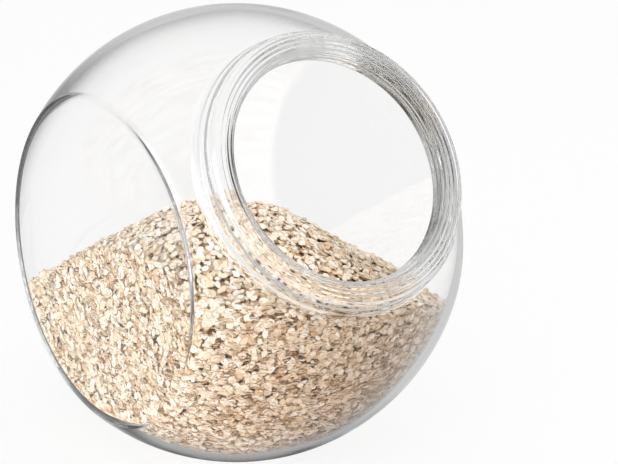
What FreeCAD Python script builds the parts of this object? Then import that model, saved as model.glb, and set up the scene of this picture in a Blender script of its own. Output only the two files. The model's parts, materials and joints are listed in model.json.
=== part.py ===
# Globe-shaped glass storage jar, set down at its tilt, with its fill of rolled oats.
# Millimetres, +Z up. The origin is the middle of the base that the jar rests on, under the globe's centre.
# The mouth faces -Y and leans upwards by mouth_tilt; the two flat sides of the globe face +X and -X.
import FreeCAD, Part
import math
import os
import random
import Sketcher
from types import SimpleNamespace

# Driving dimensions, in millimetres and degrees
DIMENSIONS = {
    # outside of the globe
    "globe_radius": 108.0,
    "side_margin": 9.4,           # each flat side stands this far outside the collar
    "side_edge_radius": 7.0,
    "resting_radius": 38.0,       # flat base under the tilted jar
    "upright_radius": 38.0,       # flat base opposite the mouth
    "heel_radius": 9.0,
    "bearing_width": 11.0,        # ring of each base that touches the table
    "pushup_depth": 1.5,          # hollow inside that ring
    # neck and mouth, turned about the mouth's axis
    "mouth_tilt": 32.5,
    "neck_radius": 64.3,
    "neck_height": 8.5,           # straight band under the lip that takes the screw thread
    "neck_wall": 11.3,
    "collar_step": 2.3,
    "collar_height": 6.0,
    "collar_round": 1.2,
    "shoulder_radius": 6.0,
    "lip_inner_round": 4.5,
    "lip_outer_round": 3.2,
    "throat_round": 3.0,
    # glass of the globe
    "wall": 3.6,
    "base_wall": 5.0,
    "inner_edge_radius": 3.4,
    "inner_heel_radius": 4.0,
    # fill of oats
    "fill_clearance": 0.3,
    "heap_forward": 32.0,         # top of the heap from the globe's centre towards the mouth
    "heap_aside": 30.0,           # and towards the -X side
    "heap_rise": 25.0,            # and upwards
    "heap_slope": 33.0,
    "heap_crown_radius": 80.0,
    "lump_spacing": 15.0,         # the top of the heap is uneven
    "lump_height": 2.6,           # from the lowest to the highest
    # cuts run past the surface by this much
    "overrun": 5.0,
}
MATCH = 1e-4                      # how closely an edge has to match the circle that is looked for
CENTRE = (-1, 1)                  # a sketch's own origin, as a point in a constraint
UPRIGHT = -2                      # a sketch's own upright axis
LUMP_SEED = 7                     # the lumps fall alike each time
Vector = FreeCAD.Vector

doc = FreeCAD.newDocument("storage_jar")
sheet = doc.addObject("Spreadsheet::Sheet", "Sizes")
for row, (alias, value) in enumerate(DIMENSIONS.items(), start=1):
    sheet.set(f"A{row}", alias)
    sheet.set(f"B{row}", str(value))
    sheet.setAlias(f"B{row}", alias)
doc.recompute()


class Length:
    # A size as an expression on the sheet, and the number that it gives
    def __init__(self, text, number):
        self.text = text
        self.number = number

    def __add__(self, other):
        return Length(f"{self.text} + {other.text}", self.number + other.number)

    def __sub__(self, other):
        return Length(f"{self.text} - ({other.text})", self.number - other.number)


def chord(radius, distance):
    # Radius of the circle in which a plane at that distance cuts a globe, or the other way round
    return Length(f"sqrt(({radius.text})^2 - ({distance.text})^2)",
                  math.sqrt(radius.number ** 2 - distance.number ** 2))


size = SimpleNamespace(**{alias: Length(f"Sizes.{alias}", getattr(sheet, alias)) for alias in DIMENSIONS})

# Lengths that several pieces share; heights along the mouth's axis start at the globe's centre
stand_height = chord(size.globe_radius, size.resting_radius)
upright_height = chord(size.globe_radius, size.upright_radius)
collar_radius = size.neck_radius + size.collar_step
collar_foot = chord(size.globe_radius, collar_radius)
neck_foot = collar_foot + size.collar_height
lip_height = neck_foot + size.neck_height
mouth_radius = size.neck_radius - size.neck_wall
side_reach = collar_radius + size.side_margin
pushup_radius = size.resting_radius - size.bearing_width
upright_pushup_radius = size.upright_radius - size.bearing_width

tilt = math.radians(sheet.mouth_tilt)
mouth_axis = Vector(0, -math.cos(tilt), math.sin(tilt))
globe_centre = Vector(0, 0, stand_height.number)


def new_sketch(body, name, role):
    # Sketch on one of the body's own planes, with its origin at the globe's centre
    plane = next(feature for feature in body.Origin.OriginFeatures if feature.Role == role)
    sketch = body.newObject("Sketcher::SketchObject", name)
    sketch.AttachmentSupport = [(plane, "")]
    sketch.MapMode = "FlatFace"
    sketch.setExpression("AttachmentOffset.Base.y", stand_height.text)
    return sketch


def new_leaning_sketch(body, name):
    # Upright sketch between the flat sides, turned until its upright axis lies along the mouth's axis
    sketch = new_sketch(body, name, "YZ_Plane")
    sketch.AttachmentOffset = FreeCAD.Placement(Vector(), FreeCAD.Rotation(Vector(0, 0, 1), 90))
    sketch.setExpression("AttachmentOffset.Rotation.Angle", "90 - Sizes.mouth_tilt")
    return sketch


def draw_outline(sketch, corners, arcs):
    # Closed outline through the corners. arcs gives the centre of each side that is an arc, and whether
    # it runs clockwise, by the number of the side.
    ends = []
    for side, start in enumerate(corners):
        end = corners[(side + 1) % len(corners)]
        first, last = Vector(*start), Vector(*end)
        if side in arcs:
            centre, clockwise = Vector(*arcs[side][0]), arcs[side][1]
            if clockwise:
                first, last = last, first
            circle = Part.Circle(centre, Vector(0, 0, 1), first.distanceToPoint(centre))
            turn = [math.atan2(point.y - centre.y, point.x - centre.x) for point in (first, last)]
            sketch.addGeometry(Part.ArcOfCircle(circle, turn[0], turn[1]))
            ends.append((2, 1) if clockwise else (1, 2))
        else:
            sketch.addGeometry(Part.LineSegment(first, last))
            ends.append((1, 2))
            if start[0] == end[0]:
                sketch.addConstraint(Sketcher.Constraint("Vertical", side))
            elif start[1] == end[1]:
                sketch.addConstraint(Sketcher.Constraint("Horizontal", side))
    for side, (_, last) in enumerate(ends):
        after = (side + 1) % len(corners)
        sketch.addConstraint(Sketcher.Constraint("Coincident", side, last, after, ends[after][0]))


def bind(sketch, kind, *where_and_size):
    # Adds a dimension and ties it to the sheet
    *where, distance = where_and_size
    index = sketch.addConstraint(Sketcher.Constraint(kind, *where, distance.number))
    sketch.setExpression(f"Constraints[{index}]", distance.text)


def revolve(body, kind, name, sketch):
    feature = body.newObject(kind, name)
    feature.Profile = sketch
    feature.ReferenceAxis = (sketch, ["V_Axis"])
    feature.Angle = 360
    doc.recompute()
    return feature


def cut_flats(body, name, globe, side, floor):
    # Takes off what lies beyond the two flat sides and under the base, in one cut along Y
    reach = size.globe_radius + size.overrun
    outer, half, low = reach.number, side.number, floor.number
    sketch = new_sketch(body, name + "_outline", "XZ_Plane")
    draw_outline(sketch, [(-outer, -outer), (outer, -outer), (outer, outer), (half, outer),
                          (half, -low), (-half, -low), (-half, outer), (-outer, outer)], {})
    bind(sketch, "DistanceY", 0, 1, *CENTRE, reach)
    bind(sketch, "DistanceX", *CENTRE, 1, 1, reach)
    bind(sketch, "DistanceY", *CENTRE, 2, 1, reach)
    bind(sketch, "DistanceX", *CENTRE, 3, 1, side)
    bind(sketch, "DistanceY", 4, 1, *CENTRE, floor)
    bind(sketch, "DistanceX", 5, 1, *CENTRE, side)
    bind(sketch, "DistanceY", *CENTRE, 6, 1, reach)
    bind(sketch, "DistanceX", 7, 1, *CENTRE, reach)
    feature = body.newObject("PartDesign::Pocket", name)
    feature.Profile = sketch
    feature.Type = "ThroughAll"
    feature.SideType = "Symmetric"
    doc.recompute()
    assert feature.Shape.Volume < globe.Shape.Volume, f"{name} cuts nothing"
    return feature


def round_circles(body, name, base, rounding, circles):
    # Rounds the edges of a feature that lie on the circles, each given as a centre and a radius
    edges = []
    for number, edge in enumerate(base.Shape.Edges, start=1):
        if edge.Degenerated or not isinstance(edge.Curve, Part.Circle):
            continue
        for centre, radius in circles:
            if (abs(edge.Curve.Radius - radius.number) < MATCH
                    and edge.Curve.Center.distanceToPoint(centre) < MATCH):
                edges.append(f"Edge{number}")
    assert len(edges) == len(circles), f"{name} finds {len(edges)} edges of {len(circles)}"
    feature = body.newObject("PartDesign::Fillet", name)
    feature.Base = (base, edges)
    feature.setExpression("Radius", rounding.text)
    doc.recompute()
    assert not feature.Shape.isNull(), f"{name} has no room"
    return feature


def mouth_circle(height, radius):
    return globe_centre + mouth_axis * height.number, radius


def side_circles(radius, side):
    return [(globe_centre + Vector(way * side.number, 0, 0), chord(radius, side)) for way in (-1, 1)]


def base_circles(radius, floor, upright_floor):
    resting = (globe_centre - Vector(0, 0, floor.number), chord(radius, floor))
    upright = (globe_centre - mouth_axis * upright_floor.number, chord(radius, upright_floor))
    return [resting, upright]


def hollow_base(body, name, sketch, base, drop, width):
    # Shallow dome under a base, so that the jar bears on a ring
    depth = size.pushup_depth
    low, crown = -drop.number, depth.number - drop.number
    dome_radius = (width.number ** 2 + depth.number ** 2) / (2 * depth.number)
    draw_outline(sketch, [(0, low), (width.number, low), (0, crown)], {1: ((0, crown - dome_radius), False)})
    sketch.addConstraint(Sketcher.Constraint("PointOnObject", 0, 1, UPRIGHT))
    sketch.addConstraint(Sketcher.Constraint("PointOnObject", 1, 3, UPRIGHT))
    bind(sketch, "DistanceY", 0, 1, *CENTRE, drop)
    bind(sketch, "DistanceX", 0, 1, 0, 2, width)
    bind(sketch, "DistanceY", 0, 1, 1, 2, depth)
    feature = revolve(body, "PartDesign::Groove", name, sketch)
    assert feature.Shape.Volume < base.Shape.Volume, f"{name} cuts nothing"
    return feature


def make_outside():
    # Outer form of the glass: globe, collar and neck turned about the mouth's axis, then its flats
    body = doc.addObject("PartDesign::Body", "jar_outside")
    radius = size.globe_radius
    sketch = new_leaning_sketch(body, "outside_section")
    draw_outline(sketch, [(0, -upright_height.number),
                          (size.upright_radius.number, -upright_height.number),
                          (collar_radius.number, collar_foot.number),
                          (collar_radius.number, neck_foot.number),
                          (size.neck_radius.number, neck_foot.number),
                          (size.neck_radius.number, lip_height.number),
                          (0, lip_height.number)], {1: ((0, 0), False)})
    sketch.addConstraint(Sketcher.Constraint("PointOnObject", 0, 1, UPRIGHT))
    sketch.addConstraint(Sketcher.Constraint("Coincident", 1, 3, *CENTRE))
    bind(sketch, "Radius", 1, radius)
    bind(sketch, "DistanceY", 0, 1, *CENTRE, upright_height)
    bind(sketch, "DistanceX", *CENTRE, 2, 1, collar_radius)
    bind(sketch, "DistanceY", *CENTRE, 3, 1, neck_foot)
    bind(sketch, "DistanceX", *CENTRE, 4, 1, size.neck_radius)
    bind(sketch, "DistanceY", *CENTRE, 5, 1, lip_height)
    globe = revolve(body, "PartDesign::Revolution", "globe_and_neck", sketch)

    flats = cut_flats(body, "outside_flats", globe, side_reach, stand_height)
    shoulder = round_circles(body, "shoulder", flats, size.shoulder_radius,
                             [mouth_circle(collar_foot, collar_radius)])
    collar = round_circles(body, "collar_edge", shoulder, size.collar_round,
                           [mouth_circle(neck_foot, collar_radius)])
    lip = round_circles(body, "lip_edge", collar, size.lip_outer_round,
                        [mouth_circle(lip_height, size.neck_radius)])
    sides = round_circles(body, "side_edges", lip, size.side_edge_radius, side_circles(radius, side_reach))
    heels = round_circles(body, "heels", sides, size.heel_radius,
                          base_circles(radius, stand_height, upright_height))
    resting = hollow_base(body, "resting_hollow", new_sketch(body, "resting_dome", "YZ_Plane"), heels,
                          stand_height, pushup_radius)
    hollow_base(body, "upright_hollow", new_leaning_sketch(body, "upright_dome"), resting,
                upright_height, upright_pushup_radius)
    return body


def flatten_inside(body, name, globe, radius, side, floor, upright_floor):
    # Flat sides and base of what lies inside the glass, with their rounded edges
    flats = cut_flats(body, name + "_flats", globe, side, floor)
    sides = round_circles(body, name + "_side_edges", flats, size.inner_edge_radius,
                          side_circles(radius, side))
    return round_circles(body, name + "_heels", sides, size.inner_heel_radius,
                         base_circles(radius, floor, upright_floor))


def make_inside():
    # Space inside the glass, out through the mouth
    body = doc.addObject("PartDesign::Body", "jar_inside")
    radius = size.globe_radius - size.wall
    upright_floor = upright_height - size.base_wall
    throat = chord(radius, mouth_radius)
    flare = mouth_radius + size.lip_inner_round
    lip_start = lip_height - size.lip_inner_round
    top = lip_height + size.overrun
    sketch = new_leaning_sketch(body, "inside_section")
    draw_outline(sketch, [(0, -upright_floor.number),
                          (chord(radius, upright_floor).number, -upright_floor.number),
                          (mouth_radius.number, throat.number), (mouth_radius.number, lip_start.number),
                          (flare.number, lip_height.number), (flare.number, top.number), (0, top.number)],
                 {1: ((0, 0), False), 3: ((flare.number, lip_start.number), True)})
    sketch.addConstraint(Sketcher.Constraint("PointOnObject", 0, 1, UPRIGHT))
    sketch.addConstraint(Sketcher.Constraint("Coincident", 1, 3, *CENTRE))
    sketch.addConstraint(Sketcher.Constraint("Horizontal", 3, 3, 2, 2))
    sketch.addConstraint(Sketcher.Constraint("Vertical", 3, 3, 4, 1))
    bind(sketch, "Radius", 1, radius)
    bind(sketch, "Radius", 3, size.lip_inner_round)
    bind(sketch, "DistanceY", 0, 1, *CENTRE, upright_floor)
    bind(sketch, "DistanceX", *CENTRE, 2, 1, mouth_radius)
    bind(sketch, "DistanceY", *CENTRE, 4, 1, lip_height)
    bind(sketch, "DistanceY", *CENTRE, 4, 2, top)
    globe = revolve(body, "PartDesign::Revolution", "hollow_and_mouth", sketch)
    floors = flatten_inside(body, "inside", globe, radius, side_reach - size.wall,
                            stand_height - size.base_wall, upright_floor)
    round_circles(body, "throat", floors, size.throat_round, [mouth_circle(throat, mouth_radius)])
    return body


def make_fill():
    # Oats against the glass all round, as if the globe were full
    body = doc.addObject("PartDesign::Body", "oats_fill")
    wall, base_wall = size.wall + size.fill_clearance, size.base_wall + size.fill_clearance
    radius = size.globe_radius - wall
    upright_floor = upright_height - base_wall
    sketch = new_leaning_sketch(body, "oats_section")
    draw_outline(sketch, [(0, -upright_floor.number),
                          (chord(radius, upright_floor).number, -upright_floor.number),
                          (0, radius.number)], {1: ((0, 0), False)})
    sketch.addConstraint(Sketcher.Constraint("PointOnObject", 0, 1, UPRIGHT))
    sketch.addConstraint(Sketcher.Constraint("Coincident", 1, 3, *CENTRE))
    bind(sketch, "Radius", 1, radius)
    bind(sketch, "DistanceY", 0, 1, *CENTRE, upright_floor)
    globe = revolve(body, "PartDesign::Revolution", "oats_globe", sketch)
    flatten_inside(body, "oats", globe, radius, side_reach - wall, stand_height - base_wall, upright_floor)
    return body


def heap_height(x, y):
    # Height of the heap over the globe's centre: a round crown that runs into the slope without a kink
    out = math.hypot(x + sheet.heap_aside, y + sheet.heap_forward)
    slope = math.radians(sheet.heap_slope)
    crown = sheet.heap_crown_radius
    crown_reach = crown * math.sin(slope)
    if out < crown_reach:
        return sheet.heap_rise - crown + math.sqrt(crown ** 2 - out ** 2)
    return sheet.heap_rise - crown + crown * math.cos(slope) - (out - crown_reach) * math.tan(slope)


def make_heap_space():
    # Space over the oats, whose underside is the heap's uneven top: one smooth face through a grid of lumps
    reach = (size.globe_radius + size.overrun).number
    count = math.ceil(2 * reach / sheet.lump_spacing)
    steps = [-reach + 2 * reach * step / count for step in range(count + 1)]
    lumps = random.Random(LUMP_SEED)
    rows = []
    for y in steps:
        heights = [heap_height(x, y) + lumps.uniform(-0.5, 0.5) * sheet.lump_height for x in steps]
        rows.append([globe_centre + Vector(x, y, height) for x, height in zip(steps, heights)])
    top = Part.BSplineSurface()
    top.interpolate(rows)
    space = doc.addObject("Part::Feature", "heap_space")
    space.Shape = top.toShape().extrude(Vector(0, 0, 2 * reach))
    return space


jar = doc.addObject("Part::Cut", "glass_jar")
jar.Base = make_outside()
jar.Tool = make_inside()
oats = doc.addObject("Part::Cut", "rolled_oats")
oats.Base = make_fill()
oats.Tool = make_heap_space()
doc.recompute()

for item in doc.Objects:
    assert not {"Invalid", "Error"} & set(item.State), f"{item.Name}: {item.State}"
os.makedirs("parts", exist_ok=True)
for part in (jar, oats):
    assert not part.Shape.isNull() and part.Shape.isValid(), f"{part.Label} is not a sound solid"
    assert len(part.Shape.Solids) == 1, f"{part.Label} is not one piece"
    part.Shape.exportStep(f"parts/{part.Label}.step")
    print(part.Label, "litres", round(part.Shape.Volume / 1e6, 4))
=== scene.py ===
import bpy
import bmesh
import json
import math
import random
import numpy as np
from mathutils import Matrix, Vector, noise


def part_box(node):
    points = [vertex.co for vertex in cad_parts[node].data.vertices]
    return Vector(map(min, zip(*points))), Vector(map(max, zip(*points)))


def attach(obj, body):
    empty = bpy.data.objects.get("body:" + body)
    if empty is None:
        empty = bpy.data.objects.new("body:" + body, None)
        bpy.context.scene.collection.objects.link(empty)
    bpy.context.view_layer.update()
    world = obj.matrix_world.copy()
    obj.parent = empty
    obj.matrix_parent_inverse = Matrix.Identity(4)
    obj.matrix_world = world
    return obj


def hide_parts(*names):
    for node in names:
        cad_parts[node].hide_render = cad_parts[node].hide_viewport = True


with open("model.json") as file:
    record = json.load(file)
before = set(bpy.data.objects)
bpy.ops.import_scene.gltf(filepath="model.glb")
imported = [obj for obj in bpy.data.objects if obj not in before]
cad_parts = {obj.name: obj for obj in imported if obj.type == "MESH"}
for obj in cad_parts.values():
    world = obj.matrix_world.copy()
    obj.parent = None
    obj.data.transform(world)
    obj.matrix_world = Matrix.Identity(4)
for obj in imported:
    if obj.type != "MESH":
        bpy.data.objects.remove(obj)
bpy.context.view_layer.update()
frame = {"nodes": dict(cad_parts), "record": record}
scene = bpy.context.scene
scene.view_settings.view_transform = "Standard"
lightBounces = 160                     # light caught in the glass runs a long way round the globe
scene.cycles.max_bounces = lightBounces
scene.cycles.transmission_bounces = scene.cycles.glossy_bounces = lightBounces

# where the jar is and how big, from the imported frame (metres)
mounts = {mount["name"]: mount for mount in frame["record"]["mounts"]}
mouthAxis = Vector(mounts["mouth"]["axis"]).normalized()
mouthPoint = Vector(mounts["mouth"]["pos_m"])
up = Vector((0, 0, 1))
sideways = Vector((1, 0, 0))
globeCentre = Vector((0, 0, mouthPoint.z - mouthPoint.y * mouthAxis.z / mouthAxis.y))
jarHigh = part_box("glass_jar")[1]
globeRadius = round(jarHigh.y, 4)
sideReach = round(jarHigh.x, 4)
neckRadius = mounts["neck"]["dims"]["r_mm"] / 1000
mouthRadius = mounts["mouth"]["dims"]["r_mm"] / 1000
mergeReach = 1e-6                      # points closer than this are one
touching = 1e-5                        # a point this near a surface lies on it
noLength, noArea = 1e-9, 1e-12         # keep divisions away from nought
placeDigits = 6                        # places are compared to a thousandth of a millimetre
print("frame loaded, globe", globeRadius, "centre", [round(c, 4) for c in globeCentre])


def startFresh():
    if bpy.context.object and bpy.context.object.mode != "OBJECT":
        bpy.ops.object.mode_set(mode="OBJECT")
    bpy.ops.object.select_all(action="DESELECT")


def workOn(piece):
    startFresh()
    piece.select_set(True)
    bpy.context.view_layer.objects.active = piece


# camera at the photograph's angle
cameraSet = {
    "azimuth": math.radians(34.2),     # left of the mouth's own side
    "elevation": math.radians(17.9),
    "distance": 1.512,
    "lens": 186.8, "sensor": 36,
    "aimRight": 0.0342,                # the jar stands left of the middle of the picture
}


def placeCamera(c):
    out = Vector((-math.sin(c["azimuth"]) * math.cos(c["elevation"]),
                  -math.cos(c["azimuth"]) * math.cos(c["elevation"]), math.sin(c["elevation"])))
    right = up.cross(out).normalized()
    startFresh()
    bpy.ops.object.camera_add(location=globeCentre + out * c["distance"])
    camera = bpy.context.object
    aim = globeCentre + right * c["aimRight"]
    camera.rotation_euler = (aim - camera.location).to_track_quat("-Z", "Y").to_euler()
    camera.data.lens = c["lens"]
    camera.data.sensor_width = c["sensor"]
    scene.camera = camera


placeCamera(cameraSet)
print("camera placed")


def newMaterial(name):
    material = bpy.data.materials.new(name)
    material.use_nodes = True
    return material, material.node_tree.nodes, material.node_tree.links


def addNode(nodes, kind, **values):
    node = nodes.new(kind)
    for name, value in values.items():
        if hasattr(node, name):
            setattr(node, name, value)
        else:
            node.inputs[name].default_value = value
    return node


def feed(links, socket, value):
    # a node's output is linked, a number or a colour is set
    if isinstance(value, bpy.types.NodeSocket):
        links.new(value, socket)
    else:
        socket.default_value = value


def mapRange(nodes, links, value, start, end, low, high, smooth=False):
    # runs from low to high while the value runs from start to end
    node = addNode(nodes, "ShaderNodeMapRange", interpolation_type="SMOOTHSTEP" if smooth else "LINEAR")
    for name, number in (("From Min", start), ("From Max", end), ("To Min", low), ("To Max", high)):
        node.inputs[name].default_value = number
    links.new(value, node.inputs["Value"])
    return node.outputs["Result"]


def calculate(nodes, links, operation, first, second):
    node = addNode(nodes, "ShaderNodeMath", operation=operation)
    feed(links, node.inputs[0], first)
    feed(links, node.inputs[1], second)
    return node.outputs[0]


def multiplied(nodes, links, factor, colour, by):
    # a colour multiplied by another, as far as the factor says
    mix = addNode(nodes, "ShaderNodeMix", data_type="RGBA", blend_type="MULTIPLY")
    for name, value in (("Factor", factor), ("A", colour), ("B", by)):
        feed(links, mix.inputs[name], value)
    return mix.outputs["Result"]


def mixedSurface(nodes, links, factor, first, second):
    mix = addNode(nodes, "ShaderNodeMixShader")
    links.new(factor, mix.inputs["Fac"])
    links.new(first, mix.inputs[1])
    links.new(second, mix.inputs[2])
    links.new(mix.outputs["Shader"], nodes["Material Output"].inputs["Surface"])


def addRamp(nodes, links, value, stops, interpolation="LINEAR"):
    node = addNode(nodes, "ShaderNodeValToRGB")
    ramp = node.color_ramp
    ramp.interpolation = interpolation
    while len(ramp.elements) < len(stops):
        ramp.elements.new(0.5)
    for element, (position, colour) in zip(ramp.elements, stops):
        element.position, element.color = position, colour
    links.new(value, node.inputs["Fac"])
    return node.outputs["Color"]


# the glass
jar = {
    "wall": 0.0036, "baseWall": 0.005,
    "sideEdge": 0.007, "innerSideEdge": 0.0034,
    "baseRadius": 0.038, "bearingWidth": 0.011, "pushUp": 0.0015,
    "heel": 0.009, "innerHeel": 0.004,
    "neckHeight": 0.0085, "collarStep": 0.0023, "collarHeight": 0.006, "collarRound": 0.0012,
    "shoulder": 0.006, "neckCorner": 0.0007,
    "lipInner": 0.0045, "lipOuter": 0.0032, "throat": 0.003,
    "ringSpan": 0.0021, "ringHeight": 0.00022,   # fine rings that the mould leaves on the lip
    "wobble": 0.00011, "wobbleSpan": 0.035,
    "evenMouth": math.radians(36),     # no wobble nearer to the mouth's axis than this
    "smooth": math.radians(40),
    # how finely each stretch is divided
    "globeSteps": 200, "neckSteps": 288, "baseSteps": 120,
    "arcStep": math.radians(1.5),      # along the globe
    "domeSteps": 12, "flatSteps": 16, "edgeSteps": 10, "flatShares": (0.35, 0.7, 0.92),
    "shoulderSteps": 10, "collarSteps": 6, "cornerSteps": 4, "threadSteps": 28, "throatSteps": 10,
    "lipOuterSteps": 26, "lipInnerSteps": 36, "ringSteps": 84,
    "collarShares": (0.3, 0.6, 0.9), "boreShares": (0.1, 0.5, 0.9),
    # where the globe's skins open and where the pieces set in them begin, in degrees: outside, inside
    "mouthHole": (42.0, 35.0), "mouthBorder": (41.4, 34.2),
    "baseHole": (23.0, 25.0), "baseBorder": (22.3, 24.3),
}
thread = {
    "lugs": 4, "span": math.radians(215), "rise": 0.0031, "foot": 0.0012,
    "halfWidth": 0.0009, "height": 0.0016, "runOut": math.radians(8), "startTurn": math.radians(20),
}
innerRadius = globeRadius - jar["wall"]
innerReach = sideReach - jar["wall"]
baseReach = math.sqrt(globeRadius ** 2 - jar["baseRadius"] ** 2)
innerBaseReach = baseReach - jar["baseWall"]


def arcPoints(centre, radius, start, end, steps):
    turns = [start + (end - start) * k / steps for k in range(steps + 1)]
    return [(centre[0] + radius * math.cos(t), centre[1] + radius * math.sin(t)) for t in turns]


def globeArc(radius, start, end):
    # along the globe, angles measured from the axis
    steps = max(2, round(abs(end - start) / jar["arcStep"]))
    return arcPoints((0, 0), radius, math.pi / 2 - start, math.pi / 2 - end, steps)


def flatCap(globe, reach, edge, hollowWidth=0, hollowDepth=0):
    # a flat on the globe from its middle outwards, with its rounded edge
    foot = math.sqrt((globe - edge) ** 2 - (reach - edge) ** 2)
    quarter = math.pi / 2
    if hollowDepth:
        dome = (hollowWidth ** 2 + hollowDepth ** 2) / (2 * hollowDepth)
        turn = math.asin(hollowWidth / dome)
        points = arcPoints((0, reach - hollowDepth + dome), dome,
                           -quarter, -quarter + turn, jar["domeSteps"])
    else:
        points = [(foot * k / jar["flatSteps"], reach) for k in range(jar["flatSteps"] - 1)]
    first = points[-1][0]
    points += [(first + (foot - first) * share, reach) for share in jar["flatShares"]]
    end = math.atan2(reach - edge, foot)
    points += arcPoints((foot, reach - edge), edge, quarter, end, jar["edgeSteps"])
    return points, quarter - end


def spinSkin(name, profile, axis, steps):
    # profile points are (distance from the axis, distance along it from the globe's centre)
    side = sideways if abs(axis.x) < 0.5 else up
    mesh = bpy.data.meshes.new(name)
    mesh.from_pydata([globeCentre + side * r + axis * a for r, a in profile],
                     [(k, k + 1) for k in range(len(profile) - 1)], [])
    skin = bpy.data.objects.new(name, mesh)
    scene.collection.objects.link(skin)
    workOn(skin)
    bpy.ops.object.mode_set(mode="EDIT")
    bpy.ops.mesh.select_all(action="SELECT")
    bpy.ops.mesh.spin(steps=steps, angle=2 * math.pi, center=globeCentre, axis=axis)
    bpy.ops.mesh.select_all(action="SELECT")
    bpy.ops.mesh.remove_doubles(threshold=mergeReach)
    bpy.ops.object.mode_set(mode="OBJECT")
    return skin


def globeSkin(name, globe, reach, edge):
    cap, turn = flatCap(globe, reach, edge)
    belt = globeArc(globe, turn, math.pi - turn)[1:-1]
    far = [(r, -a) for r, a in reversed(cap)]
    return spinSkin(name, cap + belt + far, sideways, jar["globeSteps"])


def openRound(skin, axis, turn):
    # takes out the faces that reach into a cone about the axis
    bm = bmesh.new()
    bm.from_mesh(skin.data)
    inside = [face for face in bm.faces
              if any((v.co - globeCentre).angle(axis) < turn for v in face.verts)]
    bmesh.ops.delete(bm, geom=inside, context="FACES")
    bm.to_mesh(skin.data)
    bm.free()


def openLoops(bm):
    loose = {edge for edge in bm.edges if edge.is_boundary}
    loops = []
    while loose:
        first, last = loose.pop().verts
        loop = [first, last]
        while last is not first:
            edge = next(e for e in last.link_edges if e in loose)
            loose.remove(edge)
            last = edge.other_vert(last)
            loop.append(last)
        loops.append(loop[:-1])
    return loops


def middleOf(loop):
    return sum((v.co for v in loop), Vector()) / len(loop)


def zipLoops(bm, one, other):
    # triangles between two rings that lie one round the other, begun at a place that their points decide
    one, other = sorted((one, other), key=len)
    middle = middleOf(one)
    way = (middle - globeCentre).normalized()
    for ring in (one, other):
        turn = sum(way.dot((a.co - middle).cross(b.co - middle)) for a, b in zip(ring, ring[1:] + ring[:1]))
        if turn < 0:
            ring.reverse()
    start = max(range(len(one)), key=lambda k: [round(c, placeDigits) for c in one[k].co])
    one = one[start:] + one[:start]
    start = min(range(len(other)), key=lambda k: (round((other[k].co - one[0].co).length, placeDigits),
                                                  [round(c, placeDigits) for c in other[k].co]))
    other = other[start:] + other[:start]
    i = j = 0
    while i < len(one) or j < len(other):
        a, b = one[i % len(one)], other[j % len(other)]
        nextA, nextB = one[(i + 1) % len(one)], other[(j + 1) % len(other)]
        if j == len(other) or (i < len(one) and (nextA.co - b.co).length <= (nextB.co - a.co).length):
            bm.faces.new((a, nextA, b))
            i += 1
        else:
            bm.faces.new((a, nextB, b))
            j += 1


def lipRings(outline):
    # evenly spaced points over the lip, raised and sunk a little in rings that fade out at both ends
    steps = jar["ringSteps"]
    lengths = [0.0]
    for first, last in zip(outline, outline[1:]):
        lengths.append(lengths[-1] + math.dist(first, last))
    places = [lengths[-1] * k / steps for k in range(steps + 1)]
    across = np.interp(places, lengths, [point[0] for point in outline])
    along = np.interp(places, lengths, [point[1] for point in outline])
    slopes = np.stack([np.gradient(across), np.gradient(along)])
    slopes /= np.linalg.norm(slopes, axis=0)
    rise = jar["ringHeight"] * np.sin(np.pi * np.arange(steps + 1) / steps) ** 0.5
    rise *= np.sin(2 * np.pi * np.array(places) / jar["ringSpan"])
    return list(zip((across + slopes[1] * rise).tolist(), (along - slopes[0] * rise).tolist()))


def neckProfile(border, innerBorder):
    # from the globe's outside over collar, neck and lip into the mouth
    j = jar
    collar = neckRadius + j["collarStep"]
    foot = math.sqrt(globeRadius ** 2 - collar ** 2) + j["collarHeight"]
    lip = foot + j["neckHeight"]
    shoulderHeight = math.sqrt((globeRadius + j["shoulder"]) ** 2 - (collar + j["shoulder"]) ** 2)
    shoulderTurn = math.asin((collar + j["shoulder"]) / (globeRadius + j["shoulder"]))
    throatHeight = math.sqrt((innerRadius + j["throat"]) ** 2 - (mouthRadius + j["throat"]) ** 2)
    throatTurn = math.asin((mouthRadius + j["throat"]) / (innerRadius + j["throat"]))
    quarter = math.pi / 2
    points = globeArc(globeRadius, border, shoulderTurn)
    points += arcPoints((collar + j["shoulder"], shoulderHeight), j["shoulder"],
                        -quarter - shoulderTurn, -math.pi, j["shoulderSteps"])[1:]
    collarTop = foot - j["collarRound"]
    points += [(collar, shoulderHeight + (collarTop - shoulderHeight) * share)
               for share in j["collarShares"]]
    points += arcPoints((collar - j["collarRound"], collarTop), j["collarRound"],
                        0, quarter, j["collarSteps"])
    corner = j["neckCorner"]
    points += arcPoints((neckRadius + corner, foot + corner), corner, -quarter, -math.pi, j["cornerSteps"])
    low, high = foot + corner, lip - j["lipOuter"]
    points += [(neckRadius, low + (high - low) * k / j["threadSteps"]) for k in range(1, j["threadSteps"])]
    lipOutside = arcPoints((neckRadius - j["lipOuter"], high), j["lipOuter"], 0, quarter, j["lipOuterSteps"])
    lipInside = arcPoints((mouthRadius + j["lipInner"], lip - j["lipInner"]), j["lipInner"],
                          quarter, math.pi, j["lipInnerSteps"])
    points += lipRings(lipOutside + lipInside)
    points += [(mouthRadius, lip - j["lipInner"] + (throatHeight - lip + j["lipInner"]) * share)
               for share in j["boreShares"]]
    points += arcPoints((mouthRadius + j["throat"], throatHeight), j["throat"],
                        math.pi, 3 * math.pi / 2 - throatTurn, j["throatSteps"])
    return points + globeArc(innerRadius, throatTurn, innerBorder)[1:], foot


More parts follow.
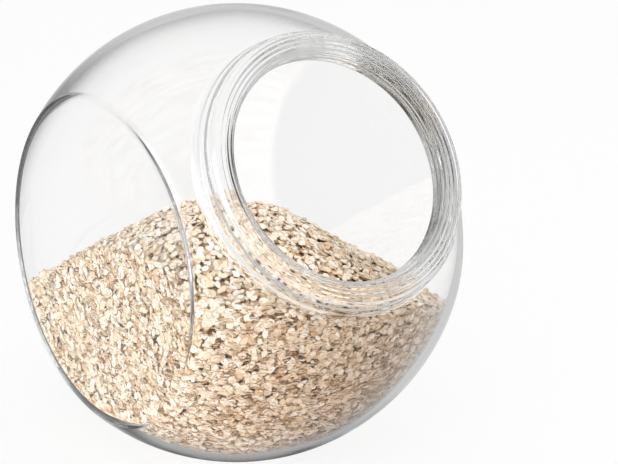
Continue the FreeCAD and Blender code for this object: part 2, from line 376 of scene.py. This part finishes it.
def raiseThread(skin, foot):
    # each lug climbs the neck and runs out at both ends
    across = mouthAxis.cross(sideways)
    for vert in skin.data.vertices:
        place = vert.co - globeCentre
        height = place.dot(mouthAxis) - foot
        outwards = place - mouthAxis * place.dot(mouthAxis)
        if height < 0 or outwards.length < neckRadius - touching:
            continue
        turn = math.atan2(outwards.dot(across), outwards.dot(sideways))
        rise = 0
        for lug in range(thread["lugs"]):
            along = (turn - thread["startTurn"] - 2 * math.pi * lug / thread["lugs"]) % (2 * math.pi)
            if along > thread["span"]:
                continue
            fade = min(1, along / thread["runOut"], (thread["span"] - along) / thread["runOut"])
            fade = fade * fade * (3 - 2 * fade)
            off = (height - thread["foot"] - thread["rise"] * along / thread["span"]) / thread["halfWidth"]
            if abs(off) < 1:
                rise = max(rise, thread["height"] * fade * (1 - off * off) ** 1.5)
        vert.co += outwards.normalized() * rise


def makeGlass():
    down, back = -up, -mouthAxis
    degree = math.radians(1)
    skins = []
    for side, (name, globe, reach, edge) in enumerate((
            ("glassOutside", globeRadius, sideReach, jar["sideEdge"]),
            ("glassInside", innerRadius, innerReach, jar["innerSideEdge"]))):
        skin = globeSkin(name, globe, reach, edge)
        for axis, hole in ((mouthAxis, "mouthHole"), (down, "baseHole"), (back, "baseHole")):
            openRound(skin, axis, jar[hole][side] * degree)
        skins.append(skin)
    border, innerBorder = (turn * degree for turn in jar["mouthBorder"])
    profile, foot = neckProfile(border, innerBorder)
    neck = spinSkin("glassNeck", profile, mouthAxis, jar["neckSteps"])
    raiseThread(neck, foot)
    skins.append(neck)
    hollow = jar["baseRadius"] - jar["bearingWidth"]
    border, innerBorder = (turn * degree for turn in jar["baseBorder"])
    for name, axis in (("restingBase", down), ("uprightBase", back)):
        cap, turn = flatCap(globeRadius, baseReach, jar["heel"], hollow, jar["pushUp"])
        outside = cap + globeArc(globeRadius, turn, border)[1:]
        skins.append(spinSkin(name, outside, axis, jar["baseSteps"]))
        cap, turn = flatCap(innerRadius, innerBaseReach, jar["innerHeel"])
        inside = cap + globeArc(innerRadius, turn, innerBorder)[1:]
        skins.append(spinSkin(name + "Floor", inside, axis, jar["baseSteps"]))
    startFresh()
    for skin in skins:
        skin.select_set(True)
    bpy.context.view_layer.objects.active = skins[0]
    bpy.ops.object.join()
    glass = bpy.context.object
    glass.name = glass.data.name = "jarGlass"

    bm = bmesh.new()
    bm.from_mesh(glass.data)
    loops = openLoops(bm)
    while loops:
        one = loops.pop()
        middle = middleOf(one)
        other = min(loops, key=lambda loop: (middleOf(loop) - middle).length)
        loops.remove(other)
        zipLoops(bm, one, other)
    # the blown inside is never quite even
    for vert in bm.verts:
        place = vert.co - globeCentre
        if place.length < innerRadius + touching and place.angle(mouthAxis) > jar["evenMouth"]:
            vert.co += place.normalized() * jar["wobble"] * noise.noise(place / jar["wobbleSpan"])
    bm.to_mesh(glass.data)
    bm.free()
    workOn(glass)
    bpy.ops.object.mode_set(mode="EDIT")
    bpy.ops.mesh.select_all(action="SELECT")
    bpy.ops.mesh.normals_make_consistent(inside=False)
    bpy.ops.object.mode_set(mode="OBJECT")
    bpy.ops.object.shade_smooth_by_angle(angle=jar["smooth"])
    return glass


def glassMaterial():
    material, nodes, links = newMaterial("clearGlass")
    shader = nodes["Principled BSDF"]
    facing = addNode(nodes, "ShaderNodeLayerWeight", Blend=0.5)
    # painted shade: the glass is tinted darker where the wall is seen edge on, for a dark outline
    edge = addRamp(nodes, links, facing.outputs["Facing"],
                   [(0.6, (1, 1, 1, 1)), (1.0, (0.09, 0.10, 0.095, 1))], "EASE")
    links.new(edge, shader.inputs["Base Color"])
    shader.inputs["Roughness"].default_value = 0.0
    shader.inputs["IOR"].default_value = 1.5
    shader.inputs["Transmission Weight"].default_value = 1.0
    tint = addNode(nodes, "ShaderNodeVolumeAbsorption", Color=(0.86, 0.87, 0.86, 1), Density=2.5)
    links.new(tint.outputs["Volume"], nodes["Material Output"].inputs["Volume"])
    return material


jarGlass = makeGlass()
jarGlass.data.materials.append(glassMaterial())
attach(jarGlass, "root")
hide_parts("glass_jar")
glassCheck = bmesh.new()
glassCheck.from_mesh(jarGlass.data)
openEdges = sum(not edge.is_manifold for edge in glassCheck.edges)
litres = round(glassCheck.calc_volume(signed=True) * 1000, 4)
print("glass made,", len(glassCheck.faces), "faces, open edges", openEdges, "litres", litres)
glassCheck.free()


# the oats
oats = {
    "seed": 41,
    "shapes": 12, "rimPoints": 7, "unitThick": 0.12,
    "cup": 0.14, "lean": 0.1, "tear": (0.74, 1.12), "ripple": 0.04,   # of a flake of unit size
    "middleShift": 0.12, "middleSink": 0.05, "rimRise": 2.2,
    "length": (0.0034, 0.0056), "width": (0.0026, 0.0042), "thick": (0.00028, 0.0005),
    "smallShare": 0.3, "smallSize": (0.4, 0.75),
    "gap": 0.0002,                     # to the inside of the glass's solid
    "bedDepth": 0.0026,                # the bed under the flakes lies this far inside
    "heapSlope": 0.3,                  # the fill's surface is heap where it faces up more than this
    "levelShare": 0.42, "spread": 0.42,
    "smooth": math.radians(35), "bedSmooth": math.radians(40),
    "AtGlass": {"pieces": 3, "flakes": 6600, "onHeap": False, "depth": (0.0002, 0.0014)},
    "Behind": {"pieces": 2, "flakes": 6600, "onHeap": False, "depth": (0.0012, 0.0026)},
    "OnTop": {"pieces": 2, "flakes": 5600, "onHeap": True, "depth": (-0.0008, 0.0024)},
}
rng = np.random.default_rng(oats["seed"])
random.seed(oats["seed"])


def modelFlake():
    # one oat flake of unit size: an oval with a torn rim, cupped along its length
    startFresh()
    bpy.ops.mesh.primitive_circle_add(vertices=oats["rimPoints"], radius=0.5, fill_type="TRIFAN",
                                      enter_editmode=True)
    flake = bpy.context.object
    bm = bmesh.from_edit_mesh(flake.data)
    cup = random.uniform(-oats["cup"], oats["cup"])
    lean = random.uniform(-oats["lean"], oats["lean"])
    for vert in bm.verts:
        if vert.co.length > 0.1:
            vert.co *= random.uniform(*oats["tear"])
            ripple = random.uniform(-oats["ripple"], oats["ripple"])
            vert.co.z += cup * vert.co.y ** 2 * 4 + lean * vert.co.x + ripple
        else:
            vert.co.x += random.uniform(-oats["middleShift"], oats["middleShift"])
            vert.co.z -= random.uniform(0.0, oats["middleSink"])
    bmesh.update_edit_mesh(flake.data)
    bpy.ops.object.mode_set(mode="OBJECT")
    solid = flake.modifiers.new("thickness", "SOLIDIFY")
    solid.thickness = oats["unitThick"]
    solid.offset = 0
    bpy.ops.object.modifier_apply(modifier="thickness")
    mesh = flake.data
    points = np.empty(len(mesh.vertices) * 3)
    mesh.vertices.foreach_get("co", points)
    faces = [list(polygon.vertices) for polygon in mesh.polygons]
    bpy.data.objects.remove(flake)
    bpy.data.meshes.remove(mesh)
    return points.reshape(-1, 3), faces


flakeModels = [modelFlake() for _ in range(oats["shapes"])]
flakeShapes = np.stack([points for points, _ in flakeModels])
flakeFaces = [np.array([face for face in flakeModels[0][1] if len(face) == corners]) for corners in (3, 4)]
flakeRims = np.minimum(np.hypot(flakeShapes[:, :, 0], flakeShapes[:, :, 1]) * oats["rimRise"], 1)


def surfacePoints(count, onHeap):
    # places spread evenly over the fill's own surface, with the way out there
    mesh = frame["nodes"]["rolled_oats"].data
    mesh.calc_loop_triangles()
    corners = np.array([[mesh.vertices[v].co[:] for v in t.vertices] for t in mesh.loop_triangles])
    cross = np.cross(corners[:, 1] - corners[:, 0], corners[:, 2] - corners[:, 0])
    area = np.linalg.norm(cross, axis=1) / 2
    outward = cross / np.maximum(area[:, None] * 2, noArea)
    heap = outward[:, 2] > oats["heapSlope"]
    area = np.where(heap == onHeap, area, 0)
    pick = rng.choice(len(area), count, p=area / area.sum())
    u, v = rng.random(count), rng.random(count)
    fold = u + v > 1
    u[fold], v[fold] = 1 - u[fold], 1 - v[fold]
    first, second, third = (corners[pick, k] for k in range(3))
    points = first + u[:, None] * (second - first) + v[:, None] * (third - first)
    return points, outward[pick]


def keepInside(points):
    # flakes that would reach the glass lie flat along it
    centre = np.array(globeCentre)
    gap = oats["gap"] + jar["wobble"]
    place = points - centre
    reach = innerReach - gap
    place[:, 0] = np.clip(place[:, 0], -reach, reach)
    floor = innerBaseReach - gap
    place[:, 2] = np.maximum(place[:, 2], -floor)
    axis = np.array(mouthAxis)
    along = place @ axis
    place += np.maximum(-floor - along, 0)[:, None] * axis
    length = np.linalg.norm(place, axis=1)
    place *= np.minimum(1, (innerRadius - gap) / length)[:, None]
    # rounded corner between the flat sides and the globe
    edge = jar["innerSideEdge"]
    for sign in (-1, 1):
        ring = math.sqrt((innerRadius - edge) ** 2 - (innerReach - edge) ** 2)
        around = np.linalg.norm(place[:, 1:], axis=1)
        offX, offR = place[:, 0] * sign - (innerReach - edge), around - ring
        inCorner = (offX > 0) & (offR > 0)
        far = np.hypot(offX, offR)
        pull = np.where(inCorner & (far > edge - gap), (edge - gap) / np.maximum(far, noLength), 1)
        place[:, 0] = np.where(pull < 1, sign * (innerReach - edge + offX * pull), place[:, 0])
        newAround = np.where(pull < 1, ring + offR * pull, around)
        place[:, 1:] *= (newAround / np.maximum(around, noLength))[:, None]
    return place + centre


def turned(normals, spread):
    # leans each direction by a random angle, then gives a frame with a random turn in it
    count = len(normals)
    lean = normals + rng.normal(0, spread, (count, 1)) * randomAcross(normals)
    lean /= np.linalg.norm(lean, axis=1)[:, None]
    first = randomAcross(lean)
    return np.stack([first, np.cross(lean, first), lean], axis=2)


def randomAcross(normals):
    across = np.cross(normals, rng.normal(size=normals.shape))
    return across / np.linalg.norm(across, axis=1)[:, None]


def scatterFlakes(name, points, frames, sizes, depths):
    count, corners = len(points), flakeShapes.shape[1]
    kind = rng.integers(0, oats["shapes"], count)
    placed = np.einsum("nij,nvj->nvi", frames, flakeShapes[kind] * sizes[:, None, :]) + points[:, None, :]
    first = np.arange(count)[:, None, None] * corners
    groups = [(group[None] + first).reshape(-1, group.shape[1]).tolist() for group in flakeFaces]
    faces = [face for group in groups for face in group]
    mesh = bpy.data.meshes.new(name)
    mesh.from_pydata(keepInside(placed.reshape(-1, 3)).tolist(), [], faces)
    # red carries the flake's own tone, green how near the rim a point is, blue how deep the flake lies
    colour = mesh.color_attributes.new("flakeTone", "FLOAT_COLOR", "POINT")
    values = np.ones((count, corners, 4), dtype=np.float32)
    values[:, :, 0] = rng.random(count)[:, None]
    values[:, :, 1] = flakeRims[kind]
    values[:, :, 2] = np.clip(depths / oats["bedDepth"], 0, 1)[:, None]
    colour.data.foreach_set("color", values.ravel())
    piece = bpy.data.objects.new(name, mesh)
    scene.collection.objects.link(piece)
    workOn(piece)
    bpy.ops.object.shade_smooth_by_angle(angle=oats["smooth"])
    return piece


def flakeSizes(count):
    isSmall = rng.random(count) < oats["smallShare"]
    small = np.where(isSmall, rng.uniform(*oats["smallSize"], count), 1.0)
    length = rng.uniform(*oats["length"], count) * small
    width = rng.uniform(*oats["width"], count) * small
    thick = rng.uniform(*oats["thick"], count) / oats["unitThick"]
    return np.stack([length, width, thick], axis=1)


def makeFlakes(name, layer):
    count = layer["flakes"]
    points, ways = surfacePoints(count, layer["onHeap"])
    depths = rng.uniform(*layer["depth"], count)
    points = points - ways * depths[:, None]
    if not layer["onHeap"]:
        # settled flakes lie level and show their edges; the rest lie against the glass
        level = rng.random(count) < oats["levelShare"]
        ways = np.where(level[:, None], np.array(up), ways)
    frames = turned(ways, oats["spread"])
    return scatterFlakes(name, points, frames, flakeSizes(count), depths)


def makeBed():
    # the body of the fill under the flakes that show
    startFresh()
    node = frame["nodes"]["rolled_oats"]
    bed = bpy.data.objects.new("oatBed", node.data.copy())
    bed.data.name = "oatBed"
    bed.data.materials.clear()
    scene.collection.objects.link(bed)
    workOn(bed)
    bpy.ops.object.mode_set(mode="EDIT")
    bpy.ops.mesh.select_all(action="SELECT")
    bpy.ops.mesh.remove_doubles(threshold=mergeReach)
    bpy.ops.mesh.normals_make_consistent(inside=False)
    bpy.ops.transform.shrink_fatten(value=-oats["bedDepth"])
    bpy.ops.object.mode_set(mode="OBJECT")
    bpy.ops.object.shade_smooth_by_angle(angle=oats["bedSmooth"])
    return bed


oatLooks = {
    "tones": [(0.0, (0.74, 0.52, 0.31, 1)), (0.06, (0.87, 0.71, 0.51, 1)), (0.35, (0.93, 0.84, 0.71, 1)),
              (0.7, (0.95, 0.89, 0.79, 1)), (1.0, (0.96, 0.93, 0.87, 1))],
    # painted shade that darkens the deeper flakes
    "paintedDepthShade": [(0.2, (1, 1, 1, 1)), (0.55, (0.78, 0.67, 0.52, 1)), (1.0, (0.36, 0.23, 0.12, 1))],
    "bran": (0.62, 0.40, 0.22, 1), "branRange": (0.72, 1.0, 0.0, 0.9),
    "mottle": (0.78, 0.62, 0.44, 1), "mottleRange": (0.35, 0.75, 0.0, 0.15),
    # painted shade on a patch low at the front
    "paintedLowShade": (0.86, 0.78, 0.72, 1), "paintedLowShadeRange": (0.035, 0.082, 1.0, 0.0),
    "paintedLowShadeMiddle": (-0.012, -0.085, 0.04),
    "grainScale": 900.0,
    # painted shade of the bed that shows between the flakes
    "bedPaintedShade": [(0.0, (0.08, 0.035, 0.01, 1)), (0.12, (0.36, 0.21, 0.095, 1)),
                  (0.35, (0.72, 0.52, 0.31, 1))],
    "crumbScale": 290.0, "crumbTone": 0.35,
}


def oatMaterial():
    looks = oatLooks
    material, nodes, links = newMaterial("rolledOats")
    shader = nodes["Principled BSDF"]
    tone = addNode(nodes, "ShaderNodeAttribute", attribute_name="flakeTone")
    parts = addNode(nodes, "ShaderNodeSeparateColor")
    links.new(tone.outputs["Color"], parts.inputs["Color"])
    place = addNode(nodes, "ShaderNodeTexCoord")
    noiseNode = addNode(nodes, "ShaderNodeTexNoise", Scale=looks["grainScale"], Detail=3.0)
    links.new(place.outputs["Object"], noiseNode.inputs["Vector"])
    grain = noiseNode.outputs["Fac"]
    colour = addRamp(nodes, links, parts.outputs["Red"], looks["tones"])
    # bran along the torn rims, broken up by the grain
    rim = mapRange(nodes, links, parts.outputs["Green"], *looks["branRange"])
    branPatch = calculate(nodes, links, "MULTIPLY", rim, grain)
    colour = multiplied(nodes, links, branPatch, colour, looks["bran"])
    mottle = mapRange(nodes, links, grain, *looks["mottleRange"])
    colour = multiplied(nodes, links, mottle, colour, looks["mottle"])
    # painted shade: deeper flakes are darkened towards brown, where less light reaches them
    shade = addRamp(nodes, links, parts.outputs["Blue"], looks["paintedDepthShade"])
    colour = multiplied(nodes, links, 1.0, colour, shade)
    # painted shade: a darker, browner patch low at the front, where the fill lies in shade
    away = addNode(nodes, "ShaderNodeVectorMath", operation="DISTANCE")
    links.new(place.outputs["Object"], away.inputs[0])
    away.inputs[1].default_value = looks["paintedLowShadeMiddle"]
    paintedLowShade = mapRange(nodes, links, away.outputs["Value"], *looks["paintedLowShadeRange"])
    colour = multiplied(nodes, links, paintedLowShade, colour, looks["paintedLowShade"])
    links.new(colour, shader.inputs["Base Color"])
    bump = addNode(nodes, "ShaderNodeBump", Strength=0.3, Distance=0.0003)
    links.new(grain, bump.inputs["Height"])
    links.new(bump.outputs["Normal"], shader.inputs["Normal"])
    shader.inputs["Roughness"].default_value = 0.85
    shader.inputs["Specular IOR Level"].default_value = 0.15
    return material


def bedMaterial():
    # what shows between the flakes: more of them, with their shade painted in as dark brown, darkest along
    # the crumbs' edges
    material, nodes, links = newMaterial("oatBedPaintedShade")
    shader = nodes["Principled BSDF"]
    place = addNode(nodes, "ShaderNodeTexCoord")
    crumbs = addNode(nodes, "ShaderNodeTexVoronoi", feature="DISTANCE_TO_EDGE", Scale=oatLooks["crumbScale"])
    tones = addNode(nodes, "ShaderNodeTexVoronoi", Scale=oatLooks["crumbScale"])
    for cells in (crumbs, tones):
        links.new(place.outputs["Object"], cells.inputs["Vector"])
    shade = addRamp(nodes, links, crumbs.outputs["Distance"], oatLooks["bedPaintedShade"])
    colour = multiplied(nodes, links, oatLooks["crumbTone"], shade, tones.outputs["Color"])
    links.new(colour, shader.inputs["Base Color"])
    bump = addNode(nodes, "ShaderNodeBump", Strength=0.8, Distance=0.001)
    links.new(crumbs.outputs["Distance"], bump.inputs["Height"])
    links.new(bump.outputs["Normal"], shader.inputs["Normal"])
    shader.inputs["Roughness"].default_value = 0.95
    shader.inputs["Specular IOR Level"].default_value = 0.1
    return material


oatPieces = [makeBed()]
for layer in ("AtGlass", "Behind", "OnTop"):
    for number in range(1, oats[layer]["pieces"] + 1):
        oatPieces.append(makeFlakes(f"oatFlakes{layer}{number}", oats[layer]))
flakeFinish = oatMaterial()
for number, piece in enumerate(oatPieces):
    piece.data.materials.append(flakeFinish if number else bedMaterial())
    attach(piece, "root")
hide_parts("rolled_oats")
print("oats made,", [len(piece.data.polygons) for piece in oatPieces], "faces")


# floor and light
studio = {
    "floorSize": 12.0,
    "floorColour": (0.88, 0.88, 0.88, 1),
    "floorGlow": 0.88,
    "skyLevel": 0.75,                  # what lights the jar from outside
    "insideLevel": 0.85,               # what lights the oats through the glass
    "throughLevel": 0.96,              # what shows straight through the glass
    "shineLevel": 0.9,                 # what the glass mirrors on its outside
    "turnedLevel": 0.6,                # what light turned back inside the wall shows
    "caughtLevel": 1.7,                # what light caught in the wall for many turns shows before the mouth
    "manyTurns": 10.5, "anyTurn": 0.5,
    # sides of the room with a level of their own, and how near to the way there it holds
    "window": {"level": 2.9, "way": (-0.93, -0.25, 0.27), "range": (-0.1, 0.9)},   # lights the oats
    "front": {"level": 0.2, "way": (-0.54, -0.79, 0.31), "range": (-0.2, 0.8)},    # dim in the shine
    "edge": {"level": 0.05, "way": (0.05, 0.90, -0.43), "range": (0.84, 0.95)},    # for the left outline
    "veil": {"level": 2.2, "way": (-0.54, 0.79, -0.31), "range": (0.93, 0.985)},   # for the left flat side
    "shade": {"level": 0.04, "way": (-0.50, 0.75, -0.43), "range": (0.40, 0.70)},  # dark for turned light
    "behind": {"level": 0.05, "way": (0, 1, 0), "range": (0.15, 0.55)},            # for caught light
    "mouthCardSize": 0.20, "mouthCardReach": 0.15,
    "stripPlace": (-0.20, -0.035, 0.152), "stripSize": (0.30, 0.24, 1),
    "stripFadeShift": (0, 0.292, -1.014), "stripFadeScale": (0, 8.33, 6.67),
    "stripFull": 0.7, "stripLevel": 6.0,
    "key": {"place": (-0.9, -0.9, 1.3), "power": 9.0, "wide": 0.9},
    "fill": {"place": (1.3, -0.7, 0.9), "power": 7.0, "wide": 0.9},
}


def roomLevel(nodes, links, way):
    # white where it is seen straight or through the glass, with light and dark sides where glass turns it
    rays = addNode(nodes, "ShaderNodeLightPath")
    unit = addNode(nodes, "ShaderNodeVectorMath", operation="NORMALIZE")
    links.new(way, unit.inputs[0])

    def towards(side, elsewhere):
        along = addNode(nodes, "ShaderNodeVectorMath", operation="DOT_PRODUCT")
        links.new(unit.outputs["Vector"], along.inputs[0])
        along.inputs[1].default_value = studio[side]["way"]
        return mapRange(nodes, links, along.outputs["Value"], *studio[side]["range"],
                        elsewhere, studio[side]["level"], True)

    def choose(count, limit, below, above):
        # one level up to a number of turns, another beyond it
        mix = addNode(nodes, "ShaderNodeMix")
        more = calculate(nodes, links, "GREATER_THAN", rays.outputs[count], limit)
        for name, value in (("Factor", more), ("A", below), ("B", above)):
            feed(links, mix.inputs[name], value)
        return mix.outputs["Result"]

    shine = towards("front", studio["shineLevel"])
    for side in ("edge", "veil"):
        shine = calculate(nodes, links, "MULTIPLY", shine, towards(side, 1.0))
    turnedBack = choose("Glossy Depth", studio["manyTurns"],
                        towards("shade", studio["turnedLevel"]), towards("behind", 0.0))
    anyTurn = studio["anyTurn"]
    mirrored = choose("Transmission Depth", anyTurn, shine, turnedBack)
    straight = choose("Transmission Depth", anyTurn, 1.0, studio["throughLevel"])
    seen = choose("Glossy Depth", anyTurn, straight, mirrored)
    inside = towards("window", studio["insideLevel"])
    lit = choose("Transmission Depth", anyTurn, studio["skyLevel"], inside)
    return choose("Diffuse Depth", anyTurn, seen, lit)


def makeFloor():
    startFresh()
    bpy.ops.mesh.primitive_plane_add(size=studio["floorSize"], location=(0, 0, 0))
    floor = bpy.context.object
    floor.name = "studioFloor"
    material, nodes, links = newMaterial("studioFloor")
    shader = nodes["Principled BSDF"]
    shader.inputs["Base Color"].default_value = studio["floorColour"]
    shader.inputs["Roughness"].default_value = 0.9
    shader.inputs["Specular IOR Level"].default_value = 0.0
    place = addNode(nodes, "ShaderNodeTexCoord")
    rays = addNode(nodes, "ShaderNodeLightPath")
    glow = addNode(nodes, "ShaderNodeEmission")
    links.new(roomLevel(nodes, links, place.outputs["Object"]), glow.inputs["Strength"])
    # the glow shows to the eye and through the glass, and not to the floor's own light
    mirrored = mapRange(nodes, links, rays.outputs["Glossy Depth"], 0.0, 1.0, studio["floorGlow"], 1.0)
    plain = calculate(nodes, links, "SUBTRACT", 1.0, rays.outputs["Is Diffuse Ray"])
    share = calculate(nodes, links, "MULTIPLY", mirrored, plain)
    mixedSurface(nodes, links, share, shader.outputs["BSDF"], glow.outputs["Emission"])
    floor.data.materials.append(material)


def makeSky():
    world = bpy.data.worlds.new("studioSky")
    scene.world = world
    world.use_nodes = True
    nodes, links = world.node_tree.nodes, world.node_tree.links
    place = addNode(nodes, "ShaderNodeTexCoord")
    nodes["Background"].inputs["Color"].default_value = (1, 1, 1, 1)
    links.new(roomLevel(nodes, links, place.outputs["Generated"]), nodes["Background"].inputs["Strength"])


def makeStripLight():
    # a bright card at the left that shows only mirrored, as a line along the rounded side edge
    startFresh()
    bpy.ops.mesh.primitive_plane_add(size=1.0, location=studio["stripPlace"], rotation=(0, math.pi / 2, 0))
    card = bpy.context.object
    card.name = "stripCard"
    card.scale = studio["stripSize"]
    bpy.ops.object.transform_apply(location=True, rotation=True, scale=True)
    material, nodes, links = newMaterial("stripCard")
    place = addNode(nodes, "ShaderNodeTexCoord")
    spread = addNode(nodes, "ShaderNodeMapping")
    spread.inputs["Location"].default_value = studio["stripFadeShift"]
    spread.inputs["Scale"].default_value = studio["stripFadeScale"]
    links.new(place.outputs["Object"], spread.inputs["Vector"])
    fade = addNode(nodes, "ShaderNodeTexGradient", gradient_type="SPHERICAL")
    links.new(spread.outputs["Vector"], fade.inputs["Vector"])
    glow = addNode(nodes, "ShaderNodeEmission")
    strength = mapRange(nodes, links, fade.outputs["Fac"], 0.0, studio["stripFull"],
                        0.0, studio["stripLevel"], True)
    links.new(strength, glow.inputs["Strength"])
    links.new(glow.outputs["Emission"], nodes["Material Output"].inputs["Surface"])
    card.data.materials.append(material)
    card.visible_camera = card.visible_diffuse = card.visible_transmission = card.visible_shadow = False


def makeMouthCard():
    # a glowing card before the mouth, a light that only light caught in the neck sees
    startFresh()
    bpy.ops.mesh.primitive_plane_add(size=studio["mouthCardSize"],
                                     location=globeCentre + mouthAxis * studio["mouthCardReach"],
                                     rotation=mouthAxis.to_track_quat("Z", "X").to_euler())
    card = bpy.context.object
    card.name = "mouthCard"
    bpy.ops.object.transform_apply(location=True, rotation=True, scale=True)
    material, nodes, links = newMaterial("mouthCard")
    rays = addNode(nodes, "ShaderNodeLightPath")
    caught = calculate(nodes, links, "GREATER_THAN", rays.outputs["Glossy Depth"], studio["manyTurns"])
    clear = addNode(nodes, "ShaderNodeBsdfTransparent")
    glow = addNode(nodes, "ShaderNodeEmission", Strength=studio["caughtLevel"])
    mixedSurface(nodes, links, caught, clear.outputs["BSDF"], glow.outputs["Emission"])
    card.data.materials.append(material)
    card.visible_camera = card.visible_diffuse = card.visible_shadow = False


def addSoftbox(name, place, power, wide):
    startFresh()
    bpy.ops.object.light_add(type="AREA", location=place)
    lamp = bpy.context.object
    lamp.name = name
    lamp.data.energy = power
    lamp.data.size = wide
    lamp.visible_glossy = lamp.visible_transmission = False
    lamp.rotation_euler = (globeCentre - lamp.location).to_track_quat("-Z", "Y").to_euler()


makeFloor()
makeSky()
makeStripLight()
makeMouthCard()
for lampName in ("key", "fill"):
    addSoftbox(lampName + "Softbox", **studio[lampName])
print("studio made")
